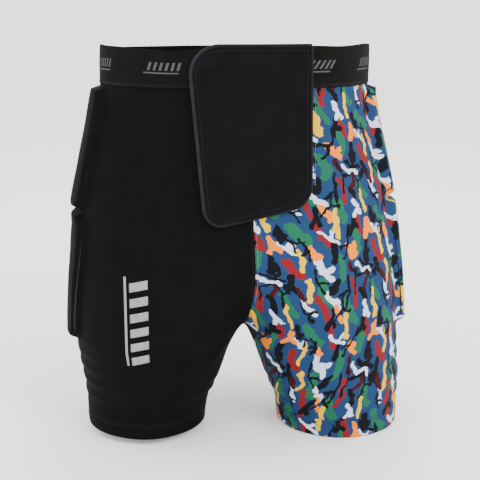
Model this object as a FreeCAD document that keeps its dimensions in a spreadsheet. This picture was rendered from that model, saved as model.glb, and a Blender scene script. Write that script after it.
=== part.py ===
"""Padded impact shorts for skiing and snowboarding, as a parametric document.

The row frame has its origin at the centre of the waist opening, level with the top of the
waistband. +Z is up, -Y is the wearer's front and +X the wearer's left. Lengths are millimetres.

Each leg with its half of the hips is a tube lofted through ellipses. Their centres run from the
middle of the waist out to the hem, and the two tubes are cut and sewn together at the centre plane.
A layer, such as the shell fabric or a pad, is the space between two such tubes whose ellipses are
larger or smaller by an offset, cut to an outline.
"""

import FreeCAD, Part
import os
import re

import Sketcher

Vector = FreeCAD.Vector

doc = FreeCAD.newDocument("impact_shorts")
sheet = doc.addObject("Spreadsheet::Sheet", "Sizes")

SIZES = [
    # the body that the shorts fit
    ("waist_half_width", 141.0, "half the width at the waist"),
    ("waist_half_depth", 104.0, "half the front to back depth at the waist"),
    ("hip_half_width", 184.0, "half the width at the crotch, without the pads"),
    ("hip_half_depth", 113.0, "half the depth at the fullest part of the seat"),
    ("seat_shift", 5.0, "how far the hips' sections sit behind the waist's"),
    ("rise", 306.0, "top of the waistband to the crotch"),
    ("inseam", 106.0, "crotch to the edge of the hem"),
    ("crotch_gap", 1.0, "centre plane to the thigh at the crotch"),
    ("thigh_extra_depth", 12.0, "how much deeper than wide half a thigh's section is"),
    ("hem_radius", 67.5, "inside radius of the hem, where it grips the thigh"),
    ("hem_centre", 111.5, "centre plane to the middle of the hem"),
    ("hem_height", 20.0, "height of the folded hem"),
    ("hem_thickness", 2.2, "two layers of shell fabric"),
    # fabric
    ("shell", 1.2, "thickness of the stretch shell"),
    ("lining", 0.8, "thickness of the mesh that holds the pads"),
    ("band_height", 40.0, "height of the elastic waistband"),
    ("band_thickness", 2.0, "thickness of the elastic"),
    ("side_seam", 8.0, "how far the side seam lies behind the middle of the waist"),
    ("gusset_half_width", 13.0, "half the width of the crotch gusset"),
    ("gusset_half_length", 42.0, "half the length of the crotch gusset"),
    ("gusset_rise", 40.0, "how far the gusset reaches above the crotch"),
    ("gusset_fall", 26.0, "how far the gusset reaches down the inseams"),
    ("sewn_gap", 0.05, "between two layers that are sewn together"),
    # foam pads
    ("hip_pad_proud", 9.0, "how far a hip pad's cover stands out from the shell"),
    ("seat_pad_proud", 12.0, "how far a seat or tailbone pad's cover stands out"),
    ("pad_sunk", 3.0, "how far a pad reaches inside the shell's outer face"),
    ("pad_clearance", 0.3, "between a pad and its pocket"),
    ("pocket_margin", 8.0, "pad's edge to the pocket's seam"),
    ("pad_corner", 14.0, "corner radius of a pad"),
    ("hip_pad_front", 34.0, "front edge of a hip pad, ahead of the middle of the waist"),
    ("hip_pad_back", 70.0, "back edge of a hip pad, behind the middle of the waist"),
    ("hip_pad_drop", 8.0, "waistband to the top of the upper hip pad"),
    ("hip_pad_upper", 121.0, "height of the upper hip pad"),
    ("hip_pad_lower", 131.0, "height of the lower hip pad"),
    ("pad_groove", 8.0, "bending groove between two pads"),
    ("tailbone_drop", 22.0, "waistband to the top of the tailbone pad"),
    ("tailbone_height", 112.0, "height of the tailbone pad"),
    ("tailbone_top", 42.0, "half the width of its top edge"),
    ("tailbone_foot", 26.0, "half the width of its foot"),
    ("seat_pad_inner", 7.0, "centre seam to the near edge of a seat pad"),
    ("seat_pad_outer", 98.0, "centre seam to the far edge of a seat pad"),
    ("seat_pad_height", 94.0, "height of a seat pad"),
    # front closure
    ("flap_free", 63.0, "centre seam to the flap's free edge, on the wearer's right"),
    ("flap_sewn", 58.0, "centre seam to the flap's sewn edge, on the wearer's left"),
    ("flap_rise", 3.0, "how far the flap stands above the waistband"),
    ("flap_drop", 177.0, "waist to the low corner of the flap"),
    ("flap_slope", 22.0, "how much higher the flap ends on its sewn side"),
    ("flap_taper", 15.0, "how far the free edge leans in towards its foot"),
    ("flap_corner", 22.0, "corner radius of the flap"),
    ("flap_fold", 6.0, "centre seam to the line where the flap folds back first"),
    ("fold_gap", 0.4, "slit between the flap's two halves at the fold"),
    ("peel_gap", 0.3, "between the hook and the loop"),
    ("loop_thickness", 1.2, "loop patch on the shell"),
    ("hook_thickness", 1.2, "hook patch under the flap"),
    ("flap_backing", 0.6, "thickness of the flap's backing"),
    ("flap_foam", 2.6, "thickness of the foam in the flap"),
    ("flap_face", 0.6, "thickness of the flap's face fabric"),
    ("welt_width", 3.0, "width of the welt round the flap"),
    ("welt_proud", 0.4, "how far the welt stands over the face"),
    ("patch_margin", 9.0, "flap's edge to the edge of the hook patch"),
    ("loop_extra", 4.0, "how far the loop patch runs past the hook patch"),
    ("tape_width", 12.0, "width of the tape that anchors the flap"),
    ("tape_thickness", 1.2, "thickness of that tape"),
    ("gore_right", 22.0, "centre seam to the waistband's free end, on the wearer's right"),
    ("gore_left", 46.0, "centre seam to the waistband's other end, under the flap"),
    ("gore_drop", 116.0, "waist to the foot of the stretch gore"),
    ("gore_foot", 5.0, "half the width of the gore's foot"),
    ("label_half_width", 18.0, "half the width of the size label"),
    ("label_top", 8.0, "waist to the top of the label"),
    ("label_height", 24.0, "height of the label"),
    ("label_thickness", 0.5, "thickness of the label"),
]
for row, (alias, value, meaning) in enumerate(SIZES, start=1):
    sheet.set(f"A{row}", meaning)
    sheet.set(f"B{row}", str(value))
    sheet.setAlias(f"B{row}", alias)
doc.recompute()

REACH = "400"  # further than the shorts reach from the origin
ALIASES = re.compile(r"\b(" + "|".join(alias for alias, _, _ in SIZES) + r")\b")


def bind(thing, **expressions):
    """Bind properties to expressions of the sheet's aliases. An underscore stands for a dot."""
    for name, expression in expressions.items():
        thing.setExpression(name.replace("_", "."), ALIASES.sub(r"Sizes.\1", expression))
    return thing


def combine(kind, first, *others):
    """One boolean feature: Cut takes the others from the first, Common and Fuse combine all."""
    if kind == "Cut" and len(others) > 1:
        return combine("Cut", first, combine("Fuse", *others))
    if kind == "Cut":
        made = doc.addObject("Part::Cut", kind)
        made.Base = first
        made.Tool = others[0]
    else:
        made = doc.addObject(f"Part::Multi{kind}", kind)
        made.Shapes = [first, *others]
    made.Refine = False  # refined lofts lose later booleans
    return made


def block(x, y, z):
    """A box between pairs of expressions."""
    box = doc.addObject("Part::Box", "Block")
    for axis, side, (low, high) in zip("xyz", ("Length", "Width", "Height"), (x, y, z)):
        bind(box, **{f"Placement_Base_{axis}": low, side: f"({high}) - ({low})"})
    return box


def rounded(solid, direction, radius):
    """The solid with its four edges along a direction rounded."""
    doc.recompute()
    made = doc.addObject("Part::Fillet", "Rounded")
    made.Base = solid
    made.Edges = [
        (number, radius, radius)
        for number, edge in enumerate(solid.Shape.Edges, start=1)
        if abs(edge.tangentAt(edge.FirstParameter).dot(direction)) > 0.999
    ]
    return made


workings = doc.addObject("Spreadsheet::Sheet", "Workings")


def value_of(expression):
    """What an expression of the sheet's aliases comes to now."""
    workings.set("A1", "=" + ALIASES.sub(r"Sizes.\1", expression))
    workings.recompute()
    return float(workings.get("A1"))


def front_prism(corners, low, high):
    """A prism along Y, between two expressions, over corners of x and z in the front view."""
    sketch = doc.addObject("Sketcher::SketchObject", "Outline")
    sketch.Placement.Rotation = FreeCAD.Rotation(Vector(1, 0, 0), 90)
    values = [Vector(value_of(x), value_of(z), 0) for x, z in corners]
    for number, start in enumerate(values):
        sketch.addGeometry(Part.LineSegment(start, values[(number + 1) % len(values)]))
    for number, corner in enumerate(corners):
        after = (number + 1) % len(corners)
        sketch.addConstraint(Sketcher.Constraint("Coincident", number, 2, after, 1))
        for kind, expression, now in zip(("DistanceX", "DistanceY"), corner, values[number]):
            held = sketch.addConstraint(Sketcher.Constraint(kind, -1, 1, number, 1, now))
            bind(sketch, **{f"Constraints[{held}]": expression})
    prism = doc.addObject("Part::Extrusion", "Prism")
    prism.Base = sketch
    prism.DirMode = "Custom"
    prism.Dir = Vector(0, 1, 0)
    prism.Solid = True
    return bind(prism, LengthFwd=high, LengthRev=f"-({low})")


def mirrored(solid):
    """The same piece on the wearer's left."""
    made = doc.addObject("Part::Mirroring", "Mirrored")
    made.Source = solid
    made.Base = Vector(0, 0, 0)
    made.Normal = Vector(1, 0, 0)
    return made


# ---- the tube of the wearer's right leg and hip

HIP_GROWTH = "(hip_half_width - waist_half_width)"
TOTAL = "(rise + inseam)"
HEM_TOP = f"(hem_height - {TOTAL})"
WAIST_SHARES = [  # share of the rise, of the growth in width and of the growth in depth
    (0.27, 0.21, 0.35),
    (0.40, 0.42, 0.70),
    (0.53, 0.62, 0.95),
]
HIP_SHARES = [(0.65, 0.79, 1.28), (0.77, 0.88, 1.08)]  # rise, growth in width, width over depth
ROUND_LEVEL = (0.82, 0.92)  # where the section is a circle: share of the rise and of the growth
THIGH_SHARES = [(0.90, 0.53, 0.75), (0.95, 0.79, 0.95)]  # rise, circle to crotch, extra depth
LEG_SHARES = [(0.25, 0.34, 0.80), (0.50, 0.60, 0.65)]  # inseam, crotch to hem, extra depth


def section(wide, deep, x, y, z, offset, turned=False):
    """One ellipse of the tube; turned is for where it is deeper than wide."""
    ellipse = doc.addObject("Part::Ellipse", "Section")
    ellipse.Placement.Rotation = FreeCAD.Rotation(Vector(0, 0, 1), 90 if turned else 0)
    long_half, short_half = (deep, wide) if turned else (wide, deep)
    bind(ellipse, MajorRadius=f"{long_half} + {offset}", MinorRadius=f"{short_half} + {offset}")
    return bind(ellipse, Placement_Base_x=x, Placement_Base_y=y, Placement_Base_z=z)


def lofted(sections):
    """A solid with straight walls from each section to the next."""
    made = doc.addObject("Part::Loft", "Loft")
    made.Sections = sections
    made.Solid = True
    made.Ruled = True
    return made


def hip_trunk(offset):
    """Waist to the round level. Down to the last of WAIST_SHARES it is centred on the waist."""
    sections = []
    for z in ("flap_rise + 10", "-band_height"):
        sections.append(section("waist_half_width", "waist_half_depth", "0", "0", z, offset))
    deepening = "(hip_half_depth - waist_half_depth)"
    for down, growth, depth in WAIST_SHARES:
        wide = f"(waist_half_width + {growth} * {HIP_GROWTH})"
        deep = f"(waist_half_depth + {depth} * {deepening})"
        y = f"{down} * seat_shift"
        sections.append(section(wide, deep, "0", y, f"-{down} * rise", offset))
    for down, growth, ratio in HIP_SHARES:
        wide = f"({ratio} * hip_half_depth)"
        x = f"{wide} - (waist_half_width + {growth} * {HIP_GROWTH})"
        args = (wide, "hip_half_depth", x, "seat_shift", f"-{down} * rise", offset)
        sections.append(section(*args))
    sections.append(round_section(offset, turned=False))
    return lofted(sections)


def round_section(offset, turned):
    down, growth = ROUND_LEVEL
    x = f"hip_half_depth - (waist_half_width + {growth} * {HIP_GROWTH})"
    args = ("hip_half_depth", "hip_half_depth", x, "seat_shift", f"-{down} * rise", offset)
    return section(*args, turned)


def thigh(offset):
    """The round level to the edge of the hem."""
    sections = [round_section(offset, turned=True)]
    crotch = "((hip_half_width - crotch_gap) / 2)"
    for down, share, extra in [*THIGH_SHARES, (1.0, 1.0, 1.0)]:
        wide = f"(hip_half_depth + {share} * ({crotch} - hip_half_depth))"
        middle = f"({wide} - waist_half_width - {0.92 + 0.08 * share} * {HIP_GROWTH})"
        deep = f"({wide} + {extra} * thigh_extra_depth)"
        z = f"-{down} * rise"
        sections.append(section(wide, deep, middle, "seat_shift", z, offset, turned=True))
    hem = "(hem_radius + hem_thickness)"
    for down, share, extra in LEG_SHARES:
        wide = f"({crotch} + {share} * ({hem} - {crotch}))"
        middle = f"({crotch} - hip_half_width - {share} * (hem_centre + {crotch} - hip_half_width))"
        deep = f"({wide} + {extra} * thigh_extra_depth)"
        y = f"{1 - share} * seat_shift"
        z = f"-rise - {down} * inseam"
        sections.append(section(wide, deep, middle, y, z, offset, turned=True))
    for z in (HEM_TOP, f"-{TOTAL}"):
        sections.append(section(hem, hem, "-hem_centre", "0", z, offset, turned=True))
    return lofted(sections)


tubes = {}


def tube(offset):
    """The whole tube at an offset from the shell's outer face; each offset is made once."""
    if offset not in tubes:
        tubes[offset] = combine("Fuse", hip_trunk(offset), thigh(offset))
    return tubes[offset]


trunks = {}


def trunk(offset):
    """The part of the tube round the waist and belly, which serves both sides."""
    if offset not in trunks:
        trunks[offset] = hip_trunk(offset)
    return trunks[offset]


def layer(inner, outer, surface=tube):
    """What lies between two offsets of a surface."""
    return combine("Cut", surface(outer), surface(inner))


# ---- outlines of the pads, on the wearer's right

X_SIDE = Vector(1, 0, 0)
Y_SIDE = Vector(0, 1, 0)


def hip_outline(top, foot, grow):
    """A prism along X over one or both hip pads, grown all round by an expression."""
    y = (f"-hip_pad_front - {grow}", f"hip_pad_back + {grow}")
    z = (f"{foot} - ({grow})", f"{top} + {grow}")
    solid = block((f"-{REACH}", "-waist_half_width / 2"), y, z)
    return rounded(solid, X_SIDE, value_of(f"pad_corner + {grow}"))


def seat_outline(grow):
    """A prism along Y over the seat pad, grown all round by an expression."""
    x = (f"-seat_pad_outer - {grow}", f"-seat_pad_inner + {grow}")
    z = (f"{SEAT_FOOT} - ({grow})", f"{SEAT_TOP} + {grow}")
    solid = block(x, ("seat_shift", REACH), z)
    return rounded(solid, Y_SIDE, value_of(f"2 * pad_corner + {grow}"))


def tailbone_outline(grow):
    """A tapering prism along Y over the tailbone pad, grown all round by an expression."""
    corners = [
        (f"-tailbone_top - {grow}", f"{TAILBONE_TOP} + {grow}"),
        (f"-tailbone_foot - {grow}", f"{TAILBONE_FOOT} - ({grow})"),
        (f"tailbone_foot + {grow}", f"{TAILBONE_FOOT} - ({grow})"),
        (f"tailbone_top + {grow}", f"{TAILBONE_TOP} + {grow}"),
    ]
    return rounded(front_prism(corners, "seat_shift", REACH), Y_SIDE, value_of(f"pad_corner + {grow}"))


UPPER_TOP = "(-band_height - hip_pad_drop)"
UPPER_FOOT = f"({UPPER_TOP} - hip_pad_upper)"
LOWER_TOP = f"({UPPER_FOOT} - pad_groove)"
LOWER_FOOT = f"({LOWER_TOP} - hip_pad_lower)"
TAILBONE_TOP = "(-band_height - tailbone_drop)"
TAILBONE_FOOT = f"({TAILBONE_TOP} - tailbone_height)"
SEAT_TOP = f"({TAILBONE_FOOT} - pad_groove)"
SEAT_FOOT = f"({SEAT_TOP} - seat_pad_height)"

# name, outline and how far the cover stands out
PADS = {
    "hip_pad_upper": (lambda grow: hip_outline(UPPER_TOP, UPPER_FOOT, grow), "hip_pad_proud"),
    "hip_pad_lower": (lambda grow: hip_outline(LOWER_TOP, LOWER_FOOT, grow), "hip_pad_proud"),
    "seat_pad": (seat_outline, "seat_pad_proud"),
    "tailbone_pad": (tailbone_outline, "seat_pad_proud"),
}

# ---- the shell of the wearer's right side, with its covers standing out over the pads

covers = []
pockets = []
pads = {}
for name, (outline, proud) in PADS.items():
    covers.append(combine("Common", tube(proud), outline("shell + pad_clearance")))
    pockets.append(combine("Common", tube(f"{proud} - shell"), outline("pad_clearance")))
    filled = combine("Common", tube(f"{proud} - shell - pad_clearance"), outline("0"))
    pads[name] = combine("Cut", filled, tube("-pad_sunk"))

right_half = block((f"-{REACH}", "0"), (f"-{REACH}", REACH), (HEM_TOP, "-band_height"))
outside = combine("Fuse", tube("0"), *covers)
inside = combine("Fuse", tube("-shell"), *pockets)
shell = combine("Common", combine("Cut", outside, inside), right_half)
gusset_block = block(
    ("-gusset_half_width", "gusset_half_width"),
    ("seat_shift - gusset_half_length", "seat_shift + gusset_half_length"),
    ("-rise - gusset_fall", "-rise + gusset_rise"),
)
front_half = block((f"-{REACH}", REACH), (f"-{REACH}", "side_seam"), (f"-{TOTAL}", "0"))
right_leg = combine("Cut", shell, gusset_block)
right_gusset = combine("Common", shell, gusset_block)
right_front = combine("Common", right_leg, front_half)
right_back = combine("Cut", right_leg, front_half)

gore_prism = front_prism(
    [
        ("-gore_right", "1"),
        ("-gore_foot", "-gore_drop"),
        ("gore_foot", "-gore_drop"),
        ("gore_left", "1"),
    ],
    f"-{REACH}",
    "0",
)
below_waist = block((f"-{REACH}", REACH), (f"-{REACH}", REACH), (f"-{TOTAL}", "0"))
band_zone = block((f"-{REACH}", REACH), (f"-{REACH}", REACH), ("-band_height", "0"))
waist_ring = combine("Common", layer("-band_thickness", "0", trunk), band_zone)
gore_sheet = combine("Common", layer("-shell", "0", trunk), gore_prism, below_waist)

# ---- linings that hold the pads from inside: a tray over each pad, sewn down round its edge

LINING_OUT = "-pad_sunk - sewn_gap"


def lining_tray(outline, floor_outline):
    """A lining of outline, hollowed over floor_outline to hold the pads."""
    tray = combine("Common", layer(f"{LINING_OUT} - lining", "-shell - sewn_gap"), outline)
    return combine("Cut", tray, combine("Cut", floor_outline, tube(LINING_OUT)))


hip_lining = lining_tray(
    hip_outline(UPPER_TOP, LOWER_FOOT, "pocket_margin"),
    hip_outline(UPPER_TOP, LOWER_FOOT, "pad_clearance"),
)
seat_lining = lining_tray(seat_outline("pocket_margin / 2"), seat_outline("pad_clearance"))
tailbone_lining = lining_tray(
    tailbone_outline("pocket_margin / 2"), tailbone_outline("pad_clearance")
)
right_side = block((f"-{REACH}", "0"), (f"-{REACH}", REACH), (f"-{TOTAL}", "0"))


def both_sides(solid):
    """A piece across the centre plane, from the half on the wearer's right."""
    half = combine("Common", solid, right_side)
    return combine("Fuse", half, mirrored(half))


# ---- the hem, a plain ring of folded fabric


def hem_ring():
    rings = []
    for radius in ("hem_radius + hem_thickness", "hem_radius"):
        cylinder = doc.addObject("Part::Cylinder", "Ring")
        bind(cylinder, Radius=radius, Height="hem_height")
        bind(cylinder, Placement_Base_x="-hem_centre", Placement_Base_z=f"-{TOTAL}")
        rings.append(cylinder)
    return combine("Cut", *rings)


right_hem = hem_ring()

# ---- the closure flap, in two halves that meet at its fold, and what it fastens to


def flap_outline(inset):
    """A prism over the flap, inset all round by an expression."""
    low = f"(flap_drop - {inset})"
    top = f"(flap_rise - {inset})"
    corners = [
        (f"-flap_free + {inset}", top),
        (f"-flap_free + flap_taper + {inset}", f"-{low}"),
        (f"flap_sewn - {inset}", f"-{low} + flap_slope"),
        (f"flap_sewn - {inset}", top),
    ]
    prism = front_prism(corners, f"-{REACH}", "0")
    doc.recompute()
    radius = value_of(f"flap_corner - {inset}")
    made = doc.addObject("Part::Fillet", "Rounded")
    made.Base = prism
    edges = []
    for number, edge in enumerate(prism.Shape.Edges, start=1):
        along = abs(edge.tangentAt(edge.FirstParameter).dot(Y_SIDE)) > 0.999
        middle = edge.BoundBox.Center
        sewn_top = middle.x > 0 and middle.z > -value_of("band_height")
        if along and not sewn_top:
            edges.append((number, radius, radius))
    made.Edges = edges
    return made


LOOP_OUT = "sewn_gap + loop_thickness"
HOOK_IN = f"{LOOP_OUT} + peel_gap"
HOOK_OUT = f"{HOOK_IN} + hook_thickness"
BACKING_OUT = f"{HOOK_OUT} + sewn_gap + flap_backing"
FOAM_OUT = f"{BACKING_OUT} + sewn_gap + flap_foam"
FACE_OUT = f"{FOAM_OUT} + sewn_gap + flap_face"
WELT_OUT = f"{FACE_OUT} + welt_proud"

tip_half = block(
    (f"-{REACH}", "flap_fold - fold_gap / 2"), (f"-{REACH}", "0"), (f"-{REACH}", REACH)
)
base_half = block(
    ("flap_fold + fold_gap / 2", REACH), (f"-{REACH}", "0"), (f"-{REACH}", REACH)
)
whole_outline = flap_outline("0")
inner_outline = flap_outline("welt_width")
patch_outline = flap_outline("patch_margin")
inside_welt = flap_outline("(welt_width + sewn_gap)")

flap_layers = {
    "backing": combine("Common", layer(f"{HOOK_OUT} + sewn_gap", BACKING_OUT, trunk), inside_welt),
    "foam": combine("Common", layer(f"{BACKING_OUT} + sewn_gap", FOAM_OUT, trunk), inside_welt),
    "face": combine("Common", layer(f"{FOAM_OUT} + sewn_gap", FACE_OUT, trunk), inside_welt),
    "welt": combine(
        "Cut",
        combine("Common", layer(f"{HOOK_OUT} + sewn_gap", WELT_OUT, trunk), whole_outline),
        inner_outline,
    ),
}
hook_zone = block(
    (f"-{REACH}", "flap_fold - patch_margin / 3"), (f"-{REACH}", "0"), (f"-{REACH}", "0")
)
loop_zone = block((f"-{REACH}", "-gore_right - 2"), (f"-{REACH}", "0"), (f"-{REACH}", "0"))
hook_patch = combine("Common", layer(HOOK_IN, HOOK_OUT, trunk), patch_outline, hook_zone)
loop_outline = flap_outline("(patch_margin - loop_extra)")
loop_patch = combine("Common", layer("sewn_gap", LOOP_OUT, trunk), loop_outline, loop_zone)
tape_zone = block(
    ("flap_sewn - tape_width / 2", "flap_sewn + tape_width / 2"),
    (f"-{REACH}", "0"),
    ("-flap_drop + flap_slope + flap_corner", "-label_top / 4"),
)
anchor_tape = combine("Common", layer("sewn_gap", "sewn_gap + tape_thickness", trunk), tape_zone)

label_zone = block(
    ("-label_half_width", "label_half_width"),
    ("0", REACH),
    ("-label_top - label_height", "-label_top"),
)
label_out = "-band_thickness - sewn_gap"
size_label = combine("Common", layer(f"{label_out} - label_thickness", label_out, trunk), label_zone)

# ---- every separate piece, under the name of its file

PIECES = {
    "waistband": combine("Cut", waist_ring, gore_prism),
    "stretch_gore": gore_sheet,
    "right_front_panel": combine("Cut", right_front, gore_prism),
    "left_front_panel": combine("Cut", mirrored(right_front), gore_prism),
    "right_back_panel": right_back,
    "left_back_panel": mirrored(right_back),
    "crotch_gusset": combine("Fuse", right_gusset, mirrored(right_gusset)),
    "right_leg_hem": right_hem,
    "left_leg_hem": mirrored(right_hem),
    "right_hip_pad_upper": pads["hip_pad_upper"],
    "left_hip_pad_upper": mirrored(pads["hip_pad_upper"]),
    "right_hip_pad_lower": pads["hip_pad_lower"],
    "left_hip_pad_lower": mirrored(pads["hip_pad_lower"]),
    "right_seat_pad": pads["seat_pad"],
    "left_seat_pad": mirrored(pads["seat_pad"]),
    "tailbone_pad": both_sides(pads["tailbone_pad"]),
    "right_hip_lining": hip_lining,
    "left_hip_lining": mirrored(hip_lining),
    "right_seat_lining": seat_lining,
    "left_seat_lining": mirrored(seat_lining),
    "tailbone_lining": both_sides(tailbone_lining),
    "loop_patch": loop_patch,
    "hook_patch": hook_patch,
    "flap_anchor_tape": anchor_tape,
    "size_label": size_label,
}
for name, solid in flap_layers.items():
    PIECES[f"flap_tip_{name}"] = combine("Common", solid, tip_half)
    PIECES[f"flap_base_{name}"] = combine("Common", solid, base_half)

for name, piece in PIECES.items():
    piece.Label = name
doc.recompute()

failed = [thing.Label for thing in doc.Objects if {"Invalid", "Error"} & set(thing.State)]
if failed:
    raise RuntimeError(f"these did not build: {failed}")
os.makedirs("parts", exist_ok=True)
for name, piece in PIECES.items():
    shape = piece.Shape
    if shape.isNull() or not shape.isValid() or not shape.Solids:
        raise RuntimeError(f"{name} is not a valid solid")
    print(f"{name:22s} {len(shape.Solids)} solid, {shape.Volume / 1000:8.2f} cm3")
for name, piece in PIECES.items():
    piece.Shape.exportStep(f"parts/{name}.step")
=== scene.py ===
# Padded impact shorts: the looks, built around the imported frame. Lengths in the dictionaries are
# millimetres, unless a note says metres, and become metres where a mesh is made.
import math
import random

import bmesh
import bpy
import numpy as np
from mathutils import Matrix, Vector, noise
from mathutils.bvhtree import BVHTree


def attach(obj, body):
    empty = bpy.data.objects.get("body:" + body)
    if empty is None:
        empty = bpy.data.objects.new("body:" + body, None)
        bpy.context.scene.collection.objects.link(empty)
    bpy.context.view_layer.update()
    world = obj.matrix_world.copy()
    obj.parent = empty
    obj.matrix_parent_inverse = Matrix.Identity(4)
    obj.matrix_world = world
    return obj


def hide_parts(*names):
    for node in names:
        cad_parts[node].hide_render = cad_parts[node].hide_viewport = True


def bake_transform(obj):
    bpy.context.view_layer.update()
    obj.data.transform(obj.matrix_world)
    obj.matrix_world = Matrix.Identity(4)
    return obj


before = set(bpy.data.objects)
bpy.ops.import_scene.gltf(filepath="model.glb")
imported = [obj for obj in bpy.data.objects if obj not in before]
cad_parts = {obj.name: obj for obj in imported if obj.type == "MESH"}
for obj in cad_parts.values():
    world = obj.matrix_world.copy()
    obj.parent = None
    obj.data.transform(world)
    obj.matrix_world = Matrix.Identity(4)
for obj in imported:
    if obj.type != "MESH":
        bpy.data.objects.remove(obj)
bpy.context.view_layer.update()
mm = 0.001


def smoothStep(value, low=0.0, high=1.0):
    share = min(1.0, max(0.0, (value - low) / (high - low)))
    return share * share * (3 - 2 * share)


def mix(start, end, share):
    return start + (end - start) * share


def bump(value, centre, width):
    return math.exp(-(((value - centre) / width) ** 2))


def roundedBox(across, up, halfAcross, halfUp, corner):  # distance outside a rounded rectangle
    sideways, upwards = abs(across) - halfAcross + corner, abs(up) - halfUp + corner
    outside = math.hypot(max(sideways, 0), max(upwards, 0))
    return outside + min(max(sideways, upwards), 0) - corner


def linkPiece(name, mesh):
    for polygon in mesh.polygons:
        polygon.use_smooth = True
    piece = bpy.data.objects.new(name, mesh)
    bpy.context.scene.collection.objects.link(piece)
    return piece


def meshFrom(bm, name):
    mesh = bpy.data.meshes.new(name)
    bm.to_mesh(mesh)
    bm.free()
    return linkPiece(name, mesh)


def geometryOf(bm):
    return bm.verts[:] + bm.edges[:] + bm.faces[:]


def cutAt(bm, point, normal, keep=None):
    bmesh.ops.bisect_plane(
        bm,
        geom=geometryOf(bm),
        plane_co=Vector(point) * mm,
        plane_no=normal,
        clear_outer=keep == "inner",
        clear_inner=keep == "outer",
        dist=1e-6,
    )


def outlineEdges(bm):
    return [edge for edge in bm.edges if edge.is_boundary]


def clothGrid(uCount, vCount, place, cloth=None, wrapU=False, wrapV=False):
    # a grid whose every vertex is moved by place(u, v), in millimetres
    bm = bmesh.new()
    bmesh.ops.create_grid(bm, x_segments=uCount, y_segments=vCount, size=0.5)
    uvLayer = bm.loops.layers.uv.new("cloth")
    for face in bm.faces:
        for loop in face.loops:
            u, v = loop.vert.co.x + 0.5, loop.vert.co.y + 0.5
            across, up = cloth(u, v) if cloth else (u, v)
            loop[uvLayer].uv = (across * mm, up * mm)
    for vert in bm.verts:
        vert.co = Vector(place(vert.co.x + 0.5, vert.co.y + 0.5)) * mm
    if wrapU or wrapV:
        bmesh.ops.remove_doubles(bm, verts=bm.verts, dist=0.00001)
    return bm


def addModifier(piece, kind, **settings):
    modifier = piece.modifiers.new(kind.title(), kind)
    for name, value in settings.items():
        setattr(modifier, name, value)


def applied(piece):
    graph = bpy.context.evaluated_depsgraph_get()
    mesh = bpy.data.meshes.new_from_object(piece.evaluated_get(graph))
    piece.modifiers.clear()
    piece.data = mesh
    return piece


def thicken(piece, thickness, offset=-1.0):
    addModifier(piece, "SOLIDIFY", thickness=thickness * mm, offset=offset, use_even_offset=True)
    return applied(piece)


def linear(hexColour):
    channels = [int(hexColour[i : i + 2], 16) / 255 for i in (1, 3, 5)]
    return [c / 12.92 if c <= 0.04045 else ((c + 0.055) / 1.055) ** 2.4 for c in channels] + [1.0]


def newMaterial(name, colour, roughness=0.8, specular=0.2, sheen=0.0):
    material = bpy.data.materials.new(name)
    material.use_nodes = True
    shader = material.node_tree.nodes["Principled BSDF"]
    for socket, value in {
        "Base Color": linear(colour),
        "Roughness": roughness,
        "Specular IOR Level": specular,
        "Sheen Weight": sheen,
        "Sheen Roughness": 0.4,
        "IOR": 1.5,  # near enough for polyester, nylon and EVA alike
    }.items():
        shader.inputs[socket].default_value = value
    return material


def outputOf(value):  # a node stands for its first output
    return value.outputs[0] if isinstance(value, bpy.types.Node) else value


def addNode(material, kind, links=(), **settings):
    # links fill the inputs in order, or by name or number, with nodes, outputs or plain values
    node = material.node_tree.nodes.new(f"ShaderNode{kind}")
    for name, value in settings.items():
        setattr(node, name, value)
    named = links if isinstance(links, dict) else dict(enumerate(links))
    for name, value in named.items():
        value = outputOf(value)
        if isinstance(value, bpy.types.NodeSocket):
            material.node_tree.links.new(value, node.inputs[name])
        else:
            node.inputs[name].default_value = value
    return node


def clothCoordinates(material, pitchMm):  # places on the flat cloth, counted in pitches
    uv = addNode(material, "UVMap", uv_map="cloth")
    scale = (1000 / pitchMm, 1000 / pitchMm, 1)
    return addNode(material, "Mapping", {"Vector": uv, "Scale": scale})


def feedShader(material, socket, source):
    shader = material.node_tree.nodes["Principled BSDF"]
    material.node_tree.links.new(outputOf(source), shader.inputs[socket])


def setBump(material, height, depthMm):
    feedShader(material, "Normal", addNode(material, "Bump", {"Height": height, "Distance": depthMm * mm}))


def setColour(material, colour):
    feedShader(material, "Base Color", colour)


def knitHeight(material):  # rows of stitches: a sine across, and one along
    # real stitches are about 0.5 mm, too fine to show, so they are drawn at 1.1 mm
    parts = addNode(material, "SeparateXYZ", [clothCoordinates(material, 1.1)])
    waves = []
    for part in parts.outputs[:2]:
        turned = addNode(material, "Math", (part, math.tau), operation="MULTIPLY")
        waves.append(addNode(material, "Math", [turned], operation="SINE"))
    along = addNode(material, "Math", (waves[1], 0.35), operation="MULTIPLY")
    return addNode(material, "Math", (waves[0], 0.5, along), operation="MULTIPLY_ADD")


def mottle(material, dark, light, scale):  # slight unevenness of the dye
    place = addNode(material, "TexCoord").outputs["Object"]
    cloud = addNode(material, "TexNoise", {"Vector": place, "Scale": scale, "Detail": 4.0})
    ramp = addNode(material, "ValToRGB", [cloud])
    for element, position, colour in zip(ramp.color_ramp.elements, (0.3, 0.7), (dark, light)):
        element.position = position
        element.color = linear(colour)
    return ramp


def stretchKnit():  # polyamide and elastane knit: matt, fine even stitches, hardly any shine
    material = newMaterial("stretchKnit", "#080909", 0.8, 0.04)
    setColour(material, mottle(material, "#070808", "#0b0b0c", 35))
    setBump(material, knitHeight(material), 0.05)
    return material


printColours = {
    "ground": "#1a3457",
    "green": "#185840",
    "red": "#72181c",
    "maroon": "#39090e",
    "orange": "#dd7608",
    "yellow": "#d0a511",
    "white": "#bec2d3",
    "ink": "#090a0f",
}
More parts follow.
